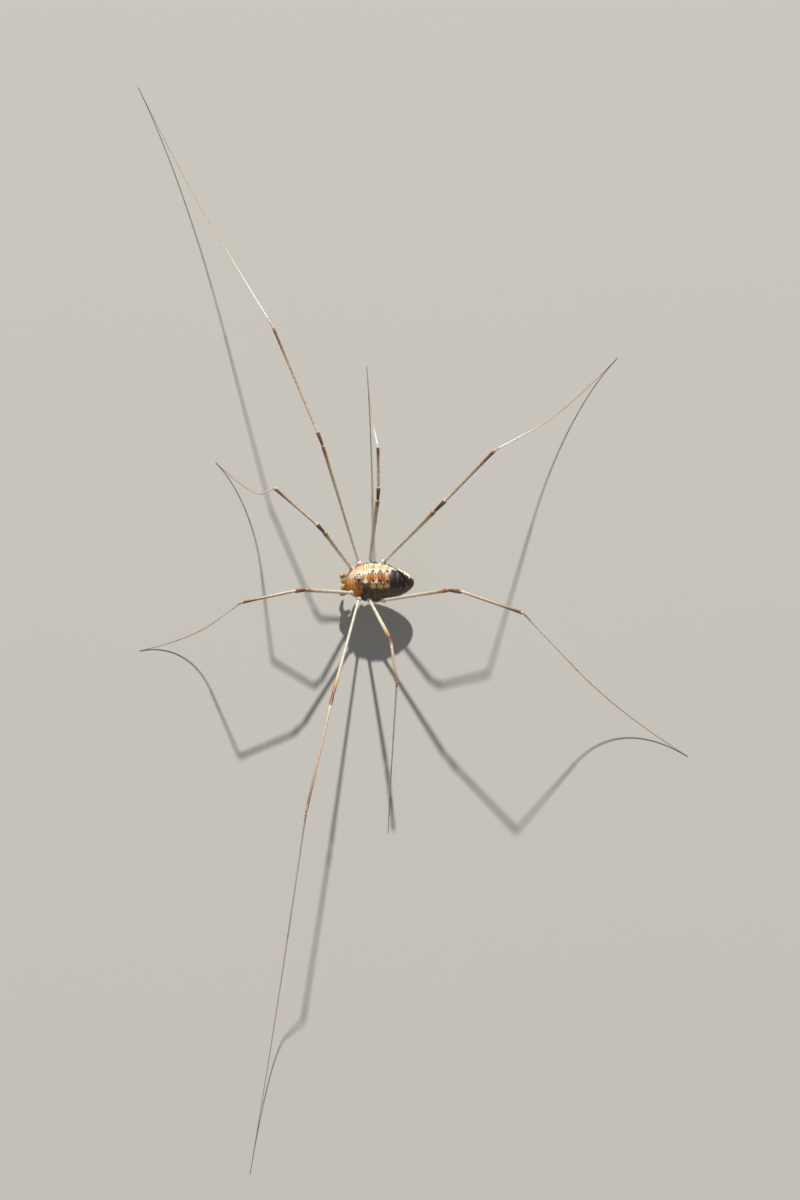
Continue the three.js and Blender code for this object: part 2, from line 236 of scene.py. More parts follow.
# Where a spine stands in its step, how far it turns from its row and its share of the full length
SPINE_PLACE = (0.25, 0.75)
SPINE_TURN = 0.18
SPINE_SIZE = (0.75, 1.1)
FIRST_ROW_TURN = 0.3
SPINE_SUNK = 0.2
SPINE_TIP = 0.12
# Course of the claw past the tip: [forward, up, share of its girth]
CLAW = [(0.0, 0.0, 1.0), (0.05, 0.012, 0.85), (0.1, 0.01, 0.6), (0.14, -0.008, 0.3)]
CLAW_GIRTH = 0.55
CLAW_SIDES = 8


def heading_vector(heading, rise=0.0):
    h, r = math.radians(heading), math.radians(rise)
    return Vector((math.cos(h) * math.cos(r), math.sin(h) * math.cos(r), math.sin(r)))


def sample(points, place):
    """The value at a place on a smooth line through [place, value] points."""
    for (before, low), (after, high) in zip(points, points[1:]):
        if place <= after:
            share = max(0.0, (place - before) / (after - before))
            share = share * share * (3 - 2 * share)
            return low + (high - low) * share
    return points[-1][1]


def ring(centre, along, side, width, height=None):
    """A matrix that lays a unit circle round a centre, square to a direction."""
    up = along.cross(side).normalized()
    across = up.cross(along).normalized()
    height = width if height is None else height
    return Matrix((
        (across.x * width, up.x * height, along.x, centre.x),
        (across.y * width, up.y * height, along.y, centre.y),
        (across.z * width, up.z * height, along.z, centre.z),
        (0, 0, 0, 1),
    ))


def sweep(bm, rings, sides=TUBE_SIDES, layer=None, values=()):
    """A closed tube through rings. A vertex layer, if any, takes one value for each ring."""
    verts = bmesh.ops.create_circle(
        bm, cap_ends=True, segments=sides, radius=1, matrix=rings[0])["verts"]
    edges = list({edge for vert in verts for edge in vert.link_edges})
    for i, (before, after) in enumerate(zip(rings, rings[1:])):
        if layer:
            for vert in verts:
                vert[layer] = values[i]
        grown = bmesh.ops.extrude_edge_only(bm, edges=edges)["geom"]
        verts = [item for item in grown if isinstance(item, bmesh.types.BMVert)]
        new = set(verts)
        edges = [item for item in grown if isinstance(item, bmesh.types.BMEdge)
                 and item.verts[0] in new and item.verts[1] in new]
        bmesh.ops.transform(bm, matrix=after @ before.inverted(), verts=verts)
    if layer:
        for vert in verts:
            vert[layer] = values[-1]
    bmesh.ops.contextual_create(bm, geom=edges)


def spine(bm, root, towards, length, girth, index=0, layer=None, value=0.0):
    """A tapering four-sided spine, its root sunk in what it grows from."""
    turn = towards.to_track_quat("Z", "Y").to_matrix().to_4x4()
    place = Matrix.Translation(root + towards.normalized() * length * (0.5 - SPINE_SUNK)) @ turn
    verts = bmesh.ops.create_cone(bm, cap_ends=True, segments=4, radius1=girth,
                                  radius2=girth * SPINE_TIP, depth=length, matrix=place)["verts"]
    for vert in verts:
        if layer:
            vert[layer] = value
        for face in vert.link_faces:
            face.material_index = index


def finish_piece(bm, name, materials, nodes):
    """Makes a smooth mesh object from a bmesh in mm round the animal's middle."""
    bmesh.ops.recalc_face_normals(bm, faces=bm.faces)
    bmesh.ops.translate(bm, vec=middle, verts=bm.verts)
    bmesh.ops.scale(bm, vec=(MM, MM, MM), verts=bm.verts)
    for face in bm.faces:
        face.smooth = True
    mesh = bpy.data.meshes.new(name)
    bm.to_mesh(mesh)
    bm.free()
    for material in materials:
        mesh.materials.append(material)
    piece = bpy.data.objects.new(name, mesh)
    bpy.context.collection.objects.link(piece)
    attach(piece, "root")
    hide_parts(*nodes)


def fall_angle(knee_height, metatarsus, tarsus, foot_height):
    """How steeply the metatarsus falls so that the evenly bending tarsus ends on the floor."""
    low, high = 0.01, math.radians(100)
    for _ in range(50):
        fall = (low + high) / 2
        drop = metatarsus * math.sin(fall) + tarsus * (1 - math.cos(fall)) / fall
        if drop < knee_height - foot_height:
            low = fall
        else:
            high = fall
    return math.degrees(low)


def leg_course(pair, side_name):
    """Each piece of a leg as its start, direction, length and sideways vector, and its fall."""
    heading, swing, turn, *rises = POSE[f"{pair}_{side_name}"]
    x, y = HIPS[pair]
    at = Vector((x, SIDES[side_name] * y, BODY_HEIGHT + HIP_RISE))
    course = {}
    swings = (swing, swing * PATELLA_SWING, 0)
    for part, rise, swung in zip(("femur", "patella", "tibia"), rises, swings):
        along = heading_vector(heading + swung, rise)
        side = heading_vector(heading + swung + 90)
        course[part] = (at.copy(), along, LEGS[pair][part], side)
        at = at + along * LEGS[pair][part]
    foot = GIRTH[pair]["tarsus"] * TIP_SHARE
    fall = fall_angle(at.z, LEGS[pair]["metatarsus"], LEGS[pair]["tarsus"], foot)
    side = heading_vector(heading + turn + 90)
    along = heading_vector(heading + turn, -fall)
    course["metatarsus"] = (at.copy(), along, LEGS[pair]["metatarsus"], side)
    at = at + along * LEGS[pair]["metatarsus"]
    course["tarsus"] = (at.copy(), heading_vector(heading + turn), LEGS[pair]["tarsus"], side)
    return course, math.radians(fall)


def tarsus_at(start, level, length, fall, reach):
    """The middle of a tarsus and its direction, a reach along it."""
    slope = fall * (1 - reach / length)
    forward = length / fall * (math.sin(fall) - math.sin(slope))
    drop = length / fall * (math.cos(slope) - math.cos(fall))
    centre = start + level * forward - Vector((0, 0, drop))
    return centre, level * math.cos(slope) - Vector((0, 0, math.sin(slope)))


def tarsal_girth(girth, share):
    """The half thickness of a tarsus at a share of its length, thinning to its tip."""
    return girth * (1 - (1 - TIP_SHARE) * share ** TARSAL_TAPER)


# Horn of the legs
# Thin straw-coloured cuticle, a little glossy, that lets some light through. The patella and the
# end of the tibia are red brown, the joints pale where soft skin shows, the tarsus darker to its tip.
BANDS = [
    (0.0, "#F4F0E8"), (0.15, "#F0EBE0"), (0.18, "#E6E0D2"), (0.26, "#DED7C4"), (0.305, "#D6C8A8"),
    (0.322, "#CC9C60"), (0.331, "#9A6038"), (0.334, "#E8DCC6"), (0.338, "#B08262"),
    (0.352, "#7A4836"), (0.42, "#8A5A46"), (0.485, "#9A705A"), (0.495, "#CBAA90"), (0.501, "#F2EBE0"),
    (0.512, "#D6C2A8"), (0.56, "#CCB69C"), (0.61, "#BC9E80"), (0.64, "#8E685A"),
    (0.656, "#866252"), (0.6625, "#C08844"), (0.6665, "#EEE2CE"), (0.671, "#C8AC90"), (0.69, "#F2EAE2"),
    (0.76, "#F2EAE2"), (0.82, "#E0D4C0"), (0.84, "#CBBB9E"), (0.91, "#AE997A"), (1.0, "#75624C"),
]
GRAIN_MM = 0.05
SPECKLE_MM = 0.25
leg_horn, tree, shader = new_material("straw_cuticle")
along_leg = add_node(tree, "ShaderNodeAttribute", attribute_name="along")
place = add_node(tree, "ShaderNodeTexCoord").outputs["Object"]
speckle = add_node(tree, "ShaderNodeTexNoise", {
    "Vector": place, "Scale": 1 / (SPECKLE_MM * MM), "Detail": 4.0, "Roughness": 0.65})
wavering = add_node(tree, "ShaderNodeMapRange", {
    "Value": speckle.outputs["Fac"], "From Min": 0.25, "From Max": 0.75,
    "To Min": -0.004, "To Max": 0.004})
banded = add_node(tree, "ShaderNodeMath", {
    0: along_leg.outputs["Fac"], 1: wavering.outputs["Result"]}, operation="ADD")
band_colour = add_node(tree, "ShaderNodeValToRGB", {"Fac": banded.outputs["Value"]}, BANDS)
shade = add_node(tree, "ShaderNodeMapRange", {
    "Value": speckle.outputs["Fac"], "From Min": 0.3, "From Max": 0.7, "To Min": 0.74, "To Max": 1.1})
mottled = add_node(tree, "ShaderNodeVectorMath", {
    0: band_colour.outputs["Color"], 1: shade.outputs["Result"]}, operation="MULTIPLY")
tree.links.new(mottled.outputs["Vector"], shader.inputs["Base Color"])
grain = add_node(tree, "ShaderNodeTexNoise", {
    "Vector": place, "Scale": 1 / (GRAIN_MM * MM), "Detail": 2.0})
relief = add_node(tree, "ShaderNodeBump", {
    "Height": grain.outputs["Fac"], "Strength": 0.5, "Distance": 0.02 * MM})
tree.links.new(relief.outputs["Normal"], shader.inputs["Normal"])
shader.inputs["Roughness"].default_value = 0.42
shader.inputs["IOR"].default_value = 1.56
shader.inputs["Subsurface Weight"].default_value = 0.8
shader.inputs["Subsurface Radius"].default_value = (1, 0.85, 0.7)
shader.inputs["Subsurface Scale"].default_value = 0.35 * MM

# Spines and claws are the same cuticle tanned hard and nearly black, with a sharper gloss
spine_horn, tree, shader = new_material("dark_tanned_cuticle")
place = add_node(tree, "ShaderNodeTexCoord").outputs["Object"]
speckle = add_node(tree, "ShaderNodeTexNoise", {"Vector": place, "Scale": 1 / (0.3 * MM), "Detail": 2.0})
colour = add_node(tree, "ShaderNodeValToRGB", {"Fac": speckle.outputs["Fac"]}, [
    (0.35, "#2A1A12"), (0.65, "#4A3020")])
tree.links.new(colour.outputs["Color"], shader.inputs["Base Color"])
shader.inputs["Roughness"].default_value = 0.3
shader.inputs["IOR"].default_value = 1.56


def set_spines(bm, part, length, course_at, rng, layer, value_at):
    """Rows of spines round one leg piece, given its middle, direction, side and girth by place.
    Those that would reach into the floor are left out."""
    rows, spacing, size, girth, lean = SPINES[part]
    count = int(length / spacing)
    for row in range(rows):
        for i in range(count):
            place = (i + rng.uniform(*SPINE_PLACE)) / count
            centre, along, side, radius = course_at(place)
            turn = 2 * math.pi * (row + rng.uniform(-SPINE_TURN, SPINE_TURN)) / rows + FIRST_ROW_TURN
            up = along.cross(side).normalized()
            out = side * math.cos(turn) + up * math.sin(turn)
            root = centre + out * radius
            tip = root + (out + along * lean).normalized() * size * rng.uniform(*SPINE_SIZE)
            if tip.z > girth:
                spine(bm, root, tip - root, (tip - root).length, girth, 1, layer, value_at(place))


rng = random.Random(11)
for pair in LEGS:
    for side_name in SIDES:
        course, fall = leg_course(pair, side_name)
        bm = bmesh.new()
        layer = bm.verts.layers.float.new("along")

        hip, along, _, side = course["femur"]
        rings, values = [], []
        for i in range(HIP_RINGS + 1):
            turn = math.pi * (HIP_BALL_END + (1 - 2 * HIP_BALL_END) * i / HIP_RINGS)
            centre = hip - along * HIP_BALL * math.cos(turn) * HIP_BALL_FLAT
            rings.append(ring(centre, along, side, HIP_BALL * math.sin(turn)))
            values.append(i / HIP_RINGS / len(PARTS))
        sweep(bm, rings, TUBE_SIDES, layer, values)

        for index, part in enumerate(PARTS[1:-1], start=1):
            start, along, length, side = course[part]
            outline = OUTLINES[part]
            count = max(2, round(length / RING_SPACING))
            places = sorted({p for p, _ in outline} | {
                i / count for i in range(1, count)
                if all(abs(i / count - p) * length > RINGS_APART for p, _ in outline)})
            girth = GIRTH[pair][part]
            rings = [ring(start + along * length * p, along, side, girth * sample(outline, p))
                     for p in places]
            values = [(index + min(max(p, 0.0), 1.0)) / len(PARTS) for p in places]
            sweep(bm, rings, TUBE_SIDES, layer, values)
            set_spines(
                bm, part, length,
                lambda p: (start + along * length * p, along, side, girth * sample(outline, p)),
                rng, layer, lambda p: (index + p) / len(PARTS))

        start, level, length, side = course["tarsus"]
        girth = GIRTH[pair]["tarsus"]
        rings, values = [], []
        count = round(length / TARSAL_RING)
        for i in range(count):
            for within, swell in TARSAL_SWELL:
                share = (i + within) / count
                centre, along = tarsus_at(start, level, length, fall, share * length)
                rings.append(ring(centre, along, side, swell * tarsal_girth(girth, share)))
                values.append((TARSUS + share) / len(PARTS))
        tip, along = tarsus_at(start, level, length, fall, length)
        rings.append(ring(tip, along, side, girth * TIP_SHARE * TIP_ROUND))
        values.append(1.0)
        sweep(bm, rings, TARSUS_SIDES, layer, values)
        set_spines(
            bm, "tarsus", length,
            lambda p: (*tarsus_at(start, level, length, fall, p * length), side,
                       tarsal_girth(girth, p)),
            rng, layer, lambda p: (TARSUS + p) / len(PARTS))

        name = f"leg_{pair}_{side_name}"
        finish_piece(bm, f"{name}_skin", [leg_horn, spine_horn],
                     [f"{name}_{part}" for part in PARTS[1:]])

        bm = bmesh.new()
        rings = [ring(tip + level * forward + Vector((0, 0, up)), level, side,
                      girth * TIP_SHARE * CLAW_GIRTH * share) for forward, up, share in CLAW]
        sweep(bm, rings, CLAW_SIDES)
        finish_piece(bm, f"{name}_claw", [spine_horn], [f"{name}_tarsus"])

# Body
# One rounded shell, head and abdomen together, of leathery cuticle ringed by shallow grooves. A
# dark saddle runs down the back over cream flanks. It is a ball drawn out into the body's egg.
BODY_WIDTH = 4.0
BACK_RISE = 1.75
BELLY_SAG = 1.55
# How the body swells along its length: [place of its peak, power ahead of it, power behind it]
FORM = {"width": (0.46, 2.1, 1.25), "back": (0.5, 1.9, 1.6), "belly": (0.48, 2.0, 1.4)}
GROOVES = [-1.3, -0.85, -0.2, 0.45, 1.1, 1.7, 2.25, 2.75, 3.12]
GROOVE_WIDTH = 0.085
GROOVE_DEPTH = 0.035
GROOVE_BEND = 0.22
# Share of the grooves' depth under the body and at its side, and its growth up the flank
GROOVE_SHARE = {"under": 0.25, "side": 0.5, "growth": 3}
SIDE_FOLD = {"turn": -0.1, "spread": 0.12, "depth": 0.05}
BODY_LENGTH = BODY_REAR - BODY_FRONT
BODY_ROUND = 160
BODY_RINGS = 150


def swell(place, peak, front_power, rear_power):
    ahead = place < peak
    t = (peak - place) / peak if ahead else (place - peak) / (1 - peak)
    return math.sqrt(max(0.0, 1 - t ** (front_power if ahead else rear_power)))


def body_point(x, turn, lift=0.0):
    """A point on the body's skin, at a place along it and a turn round it from its right."""
    place = (x - BODY_FRONT) / BODY_LENGTH
    up, across = math.sin(turn), math.cos(turn)
    nearest = min(abs(x - GROOVE_BEND * across * across - g) for g in GROOVES)
    share = min(1.0, up * GROOVE_SHARE["growth"] + GROOVE_SHARE["side"])
    dip = GROOVE_DEPTH * math.exp(-(nearest / GROOVE_WIDTH) ** 2) * max(GROOVE_SHARE["under"], share)
    dip += SIDE_FOLD["depth"] * math.exp(-((up - SIDE_FOLD["turn"]) / SIDE_FOLD["spread"]) ** 2)
    width = BODY_WIDTH / 2 * swell(place, *FORM["width"])
    reach, form = (BACK_RISE, "back") if up > 0 else (BELLY_SAG, "belly")
    height = reach * swell(place, *FORM[form])
    return Vector((
        x,
        across * (width * (1 - dip) + lift),
        BODY_HEIGHT + up * (height * (1 - dip) + lift),
    ))


# Skin of the back and belly
# Leathery cuticle, finely pebbled and a little glossy, streaked across the body in cream, orange
# and brown. The markings sit a few degrees round to the right, as the animal carries its back.
MARKINGS_ROLL = math.radians(6)
# Noises in the skin, in bumps to the mm: the first two with their detail and roughness
WANDER = (2.2, 5.0, 0.65)
FINE = (8.0, 4.0, 0.6)
STREAKS_PER_MM = (4.4, 0.9, 0.9)
PUSHES_PER_MM = 3.1
PEBBLES_PER_MM = 14.0
cuticle, tree, shader = new_material("leathery_cuticle")
place = add_node(tree, "ShaderNodeTexCoord").outputs["Object"]
centred = add_node(tree, "ShaderNodeMapping", {
    "Vector": place, "Scale": (1 / MM, 1 / MM, 1 / MM),
    "Location": (-middle.x, -middle.y, -BODY_HEIGHT)}).outputs["Vector"]
rolled = add_node(tree, "ShaderNodeMapping", {
    "Vector": centred, "Rotation": (MARKINGS_ROLL, 0, 0)}).outputs["Vector"]
axes = add_node(tree, "ShaderNodeSeparateXYZ", {"Vector": rolled})
out = add_node(tree, "ShaderNodeMath", {0: axes.outputs["Y"]}, operation="ABSOLUTE").outputs[0]
along_body = add_node(tree, "ShaderNodeMapRange", {
    "Value": axes.outputs["X"], "From Min": BODY_FRONT, "From Max": BODY_REAR}).outputs["Result"]
wander, fine = [
    add_node(tree, "ShaderNodeTexNoise", {
        "Vector": centred, "Scale": scale, "Detail": detail, "Roughness": roughness}).outputs["Fac"]
    for scale, detail, roughness in (WANDER, FINE)]
streaked = add_node(tree, "ShaderNodeMapping", {
    "Vector": centred, "Scale": STREAKS_PER_MM}).outputs["Vector"]
streak = add_node(tree, "ShaderNodeTexNoise", {
    "Vector": streaked, "Scale": 1.0, "Detail": 3.0, "Roughness": 0.55}).outputs["Fac"]
mixed = add_node(tree, "ShaderNodeMix", {"Factor": 0.35, "A": streak, "B": fine}).outputs["Result"]
# How high on the flank a place is: over 2 near the midline, 1 halfway down, 0 at the widest line.
# Noise is added to it, and a share of that noise to the place along the body, for ragged edges.
RAGGED = 1.1
flank_rise = add_node(tree, "ShaderNodeMath", {0: axes.outputs["Z"], 1: out}, operation="DIVIDE")
ragged_rise = flank_rise.outputs[0]
ragged_place = axes.outputs["X"]
for noise, share in ((wander, 0.7), (streak, 0.3)):
    uneven = add_node(tree, "ShaderNodeMapRange", {
        "Value": noise, "To Min": -RAGGED, "To Max": RAGGED}).outputs["Result"]
    ragged_rise = add_node(tree, "ShaderNodeMath", {
        0: ragged_rise, 1: uneven}, operation="ADD").outputs[0]
    ragged_place = add_node(tree, "ShaderNodeMath", {
        0: uneven, 1: share, 2: ragged_place}, operation="MULTIPLY_ADD").outputs[0]

# Half width of the saddle, as a share of its unit in mm, along the body, how far left its middle is moved
# as painted shade, how far each noise moves its edge, and where it and its pale rim begin and are full
SADDLE = [(0.0, 0.1), (0.2, 0.12), (0.33, 0.2), (0.45, 0.25), (0.58, 0.24), (0.625, 0.27),
          (0.66, 0.44), (0.72, 0.47), (0.784, 0.42), (0.86, 0.31), (0.93, 0.2), (1.0, 0.15)]
SADDLE_UNIT = 2.0
SADDLE_SHADE_SHIFT = 0.13
SADDLE_WANDER = 1.1
SADDLE_STREAK = 1.3
SADDLE_EDGE = (0.07, -0.09)
SADDLE_RIM = (0.55, 0.1)
curve = add_node(tree, "ShaderNodeFloatCurve", {"Value": along_body})
points = curve.mapping.curves[0].points
points[0].location = SADDLE[0]
points[1].location = SADDLE[-1]
for at in SADDLE[1:-1]:
    points.new(*at)
curve.mapping.update()
half_width = add_node(tree, "ShaderNodeMath", {
    0: curve.outputs["Value"], 1: SADDLE_UNIT}, operation="MULTIPLY")
# Painted shade: the dark saddle is moved towards the left flank.
past_edge = add_node(tree, "ShaderNodeMath", {0: axes.outputs["Y"], 1: SADDLE_SHADE_SHIFT}, operation="ADD")
past_edge = add_node(tree, "ShaderNodeMath", {0: past_edge.outputs[0]}, operation="ABSOLUTE")
past_edge = add_node(tree, "ShaderNodeMath", {
    0: past_edge.outputs[0], 1: half_width.outputs[0]}, operation="SUBTRACT")
for noise, strength in ((wander, SADDLE_WANDER), (streak, SADDLE_STREAK)):
    uneven = add_node(tree, "ShaderNodeMapRange", {
        "Value": noise, "To Min": -strength / 2, "To Max": strength / 2})
    past_edge = add_node(tree, "ShaderNodeMath", {
        0: past_edge.outputs[0], 1: uneven.outputs["Result"]}, operation="ADD")
saddle, rim = [
    add_node(tree, "ShaderNodeMapRange", {
        "Value": past_edge.outputs[0], "From Min": begins, "From Max": full}).outputs["Result"]
    for begins, full in (SADDLE_EDGE, SADDLE_RIM)]

# Flanks: orange brown streaks on cream, then black brown low on each flank, reaching higher up on the
# left as painted shade, an olive rim and a pale belly. The pairs say where each begins and is full, in mm
# over the body's centre.
DARK_FLANK_AND_LEFT_SHADE = {"top": 0.8, "full": 0.2, "left_shade_rise": 1.9, "turning": 0.4, "strength": 0.94}
OLIVE = (0.2, -0.05)
BELLY = (-0.4, -0.85)
HEAD_FOOT = (-0.5, 0.1)
flank = add_node(tree, "ShaderNodeValToRGB", {"Fac": mixed}, [
    (0.32, "#7A4420"), (0.4, "#B07A44"), (0.46, "#DDBD8A"), (0.53, "#EEDFBE"), (0.68, "#F6EFDF")])
flank = add_node(tree, "ShaderNodeMix", {
    "Factor": rim, "A": flank.outputs["Color"], "B": linear("#F2E6CA")},
    data_type="RGBA").outputs["Result"]
# Painted shade: the dark of the flank is lifted higher on the left side and fades out across the midline.
left_shade_lift = add_node(tree, "ShaderNodeMapRange", {
    "Value": axes.outputs["Y"], "From Min": -DARK_FLANK_AND_LEFT_SHADE["turning"], "From Max": DARK_FLANK_AND_LEFT_SHADE["turning"],
    "To Min": DARK_FLANK_AND_LEFT_SHADE["left_shade_rise"], "To Max": 0.0})
rise_with_left_shade = add_node(tree, "ShaderNodeMath", {
    0: ragged_rise, 1: left_shade_lift.outputs["Result"]}, operation="SUBTRACT").outputs[0]
low = add_node(tree, "ShaderNodeMapRange", {
    "Value": rise_with_left_shade, "From Min": DARK_FLANK_AND_LEFT_SHADE["top"], "From Max": DARK_FLANK_AND_LEFT_SHADE["full"],
    "To Max": DARK_FLANK_AND_LEFT_SHADE["strength"]}).outputs["Result"]
olive, belly, above = [
    add_node(tree, "ShaderNodeMapRange", {
        "Value": axes.outputs["Z"], "From Min": begins, "From Max": full}).outputs["Result"]
    for begins, full in (OLIVE, BELLY, HEAD_FOOT)]
flank_layers = (
    (low, [(0.36, "#1A100A"), (0.5, "#35210F"), (0.6, "#5A3E1E"), (0.74, "#94783E")]),
    (olive, [(0.35, "#5E4A20"), (0.5, "#8E783C"), (0.65, "#B5A468")]),
    (belly, [(0.3, "#A99670"), (0.5, "#CDBE98"), (0.7, "#E2D8BC")]),
)
for share, stops in flank_layers:
    colour = add_node(tree, "ShaderNodeValToRGB", {"Fac": mixed}, stops).outputs["Color"]
    flank = add_node(tree, "ShaderNodeMix", {
        "Factor": share, "A": flank, "B": colour}, data_type="RGBA").outputs["Result"]

# Head: cream streaked with orange on top and bright orange on its sides, with a dark line behind it
HEAD = {"rear": -1.5, "front": -1.8}
HEAD_SIDE = {"top": 1.4, "full": 0.3}
NECK_LINE = {"x": -1.5, "fading": 0.3, "full": 0.02}
head = add_node(tree, "ShaderNodeMapRange", {
    "Value": ragged_place, "From Min": HEAD["rear"], "From Max": HEAD["front"]}).outputs["Result"]
head = add_node(tree, "ShaderNodeMath", {0: head, 1: above}, operation="MULTIPLY").outputs[0]
mottling = add_node(tree, "ShaderNodeMix", {"Factor": 0.7, "A": streak, "B": fine}).outputs["Result"]
head_top = add_node(tree, "ShaderNodeValToRGB", {"Fac": mottling}, [
    (0.34, "#A4521E"), (0.42, "#CE8C4C"), (0.49, "#E6C698"), (0.6, "#F2E6D4")])
head_side = add_node(tree, "ShaderNodeValToRGB", {"Fac": mottling}, [
    (0.35, "#82360F"), (0.44, "#C86218"), (0.53, "#E8922C"), (0.66, "#F0C468")])
# The orange sides reach higher on the left with the flank's painted shade.
side_share = add_node(tree, "ShaderNodeMapRange", {
    "Value": rise_with_left_shade, "From Min": HEAD_SIDE["top"], "From Max": HEAD_SIDE["full"]}).outputs["Result"]
head_skin = add_node(tree, "ShaderNodeMix", {
    "Factor": side_share, "A": head_top.outputs["Color"], "B": head_side.outputs["Color"]},
    data_type="RGBA").outputs["Result"]
flank = add_node(tree, "ShaderNodeMix", {
    "Factor": head, "A": flank, "B": head_skin}, data_type="RGBA").outputs["Result"]
off_line = add_node(tree, "ShaderNodeMath", {0: ragged_place, 1: NECK_LINE["x"]}, operation="SUBTRACT")
off_line = add_node(tree, "ShaderNodeMath", {0: off_line.outputs[0]}, operation="ABSOLUTE")
line = add_node(tree, "ShaderNodeMapRange", {
    "Value": off_line.outputs[0], "From Min": NECK_LINE["fading"], "From Max": NECK_LINE["full"]})
line = line.outputs["Result"]
# The line is kept to the dark of the flank, so it reaches higher on the left with the painted shade.
for share in (low, above):
    line = add_node(tree, "ShaderNodeMath", {0: line, 1: share}, operation="MULTIPLY").outputs[0]
flank = add_node(tree, "ShaderNodeMix", {
    "Factor": line, "A": flank, "B": linear("#26160C")}, data_type="RGBA").outputs["Result"]

# Saddle: streaky orange brown ahead of the abdomen's middle, then black brown, red at the tip,
# each from the first place to the second
DARK_FROM = (0.9, 1.15)
RED_FROM = (3.05, 3.35)
front_saddle = add_node(tree, "ShaderNodeValToRGB", {"Fac": mixed}, [
    (0.36, "#52280E"), (0.43, "#94501C"), (0.49, "#C07A34"), (0.56, "#DCAA66"), (0.68, "#EDD6AC")])
rear_saddle = add_node(tree, "ShaderNodeValToRGB", {"Fac": mixed}, [
    (0.4, "#0E0806"), (0.55, "#22140D"), (0.66, "#40291A"), (0.76, "#9A8258")])
back = front_saddle.outputs["Color"]
for along, (begins, full), colour in (
        (ragged_place, DARK_FROM, rear_saddle.outputs["Color"]),
        (axes.outputs["X"], RED_FROM, linear("#4E1A12"))):
    share = add_node(tree, "ShaderNodeMapRange", {"Value": along, "From Min": begins, "From Max": full})
    back = add_node(tree, "ShaderNodeMix", {
        "Factor": share.outputs["Result"], "A": back, "B": colour}, data_type="RGBA").outputs["Result"]
skin = add_node(tree, "ShaderNodeMix", {
    "Factor": saddle, "A": flank, "B": back}, data_type="RGBA").outputs["Result"]

# Paired spots: black ovals beside the midline, each with a yellow patch outside it. Noise pushes
# their middles about and makes their edges ragged.
SPOTS = {"out": 0.5, "length": 0.15, "width": 0.18, "wander": 0.3}
PATCHES = {"out": 0.97, "length": 0.27, "width": 0.2, "wander": 0.7}
SPOT_ROW = {"first": -0.55, "spacing": 0.69, "count": 3}
SPOT_EDGE = {"ragged": 1.6, "begins": 2.0, "full": 1.5}
phase = add_node(tree, "ShaderNodeMath", {
    0: axes.outputs["X"], 1: SPOT_ROW["first"] - SPOT_ROW["spacing"] / 2}, operation="SUBTRACT")
phase = add_node(tree, "ShaderNodeMath", {
    0: phase.outputs[0], 1: SPOT_ROW["spacing"]}, operation="FLOORED_MODULO")
off_spot = add_node(tree, "ShaderNodeMath", {
    0: phase.outputs[0], 1: SPOT_ROW["spacing"] / 2}, operation="SUBTRACT").outputs[0]
row_middle = SPOT_ROW["first"] + SPOT_ROW["spacing"] * (SPOT_ROW["count"] - 1) / 2
off_row = add_node(tree, "ShaderNodeMath", {0: axes.outputs["X"], 1: row_middle}, operation="SUBTRACT")
off_row = add_node(tree, "ShaderNodeMath", {0: off_row.outputs[0]}, operation="ABSOLUTE")
within = add_node(tree, "ShaderNodeMath", {
    0: off_row.outputs[0], 1: SPOT_ROW["spacing"] * SPOT_ROW["count"] / 2}, operation="LESS_THAN")
on_top = add_node(tree, "ShaderNodeMath", {0: axes.outputs["Z"], 1: 0.0}, operation="GREATER_THAN")
within = add_node(tree, "ShaderNodeMath", {
    0: within.outputs[0], 1: on_top.outputs[0]}, operation="MULTIPLY").outputs[0]
push = add_node(tree, "ShaderNodeTexNoise", {"Vector": centred, "Scale": PUSHES_PER_MM, "Detail": 3.0})
push = add_node(tree, "ShaderNodeVectorMath", {
    0: push.outputs["Color"], 1: (0.5, 0.5, 0.5)}, operation="SUBTRACT").outputs["Vector"]
for mark, colour in ((PATCHES, "#BC9A48"), (SPOTS, "#0E0A08")):
    off = add_node(tree, "ShaderNodeMath", {0: out, 1: mark["out"]}, operation="SUBTRACT")
    offset = add_node(tree, "ShaderNodeCombineXYZ", {"X": off_spot, "Y": off.outputs[0]})
    pushed = add_node(tree, "ShaderNodeVectorMath", {
        0: push, 1: (mark["wander"], mark["wander"], 0), 2: offset.outputs["Vector"]},
        operation="MULTIPLY_ADD")
    scaled = add_node(tree, "ShaderNodeVectorMath", {
        0: pushed.outputs["Vector"], 1: (1 / mark["length"], 1 / mark["width"], 0)}, operation="MULTIPLY")
    distance = add_node(tree, "ShaderNodeVectorMath", {0: scaled.outputs["Vector"]}, operation="LENGTH")
    ragged = add_node(tree, "ShaderNodeMath", {
        0: fine, 1: SPOT_EDGE["ragged"], 2: distance.outputs["Value"]}, operation="MULTIPLY_ADD")
    inside = add_node(tree, "ShaderNodeMapRange", {
        "Value": ragged.outputs[0], "From Min": SPOT_EDGE["begins"], "From Max": SPOT_EDGE["full"]})
    inside = add_node(tree, "ShaderNodeMath", {
        0: inside.outputs["Result"], 1: within}, operation="MULTIPLY").outputs[0]
    skin = add_node(tree, "ShaderNodeMix", {
        "Factor": inside, "A": skin, "B": linear(colour)}, data_type="RGBA").outputs["Result"]
tree.links.new(skin, shader.inputs["Base Color"])

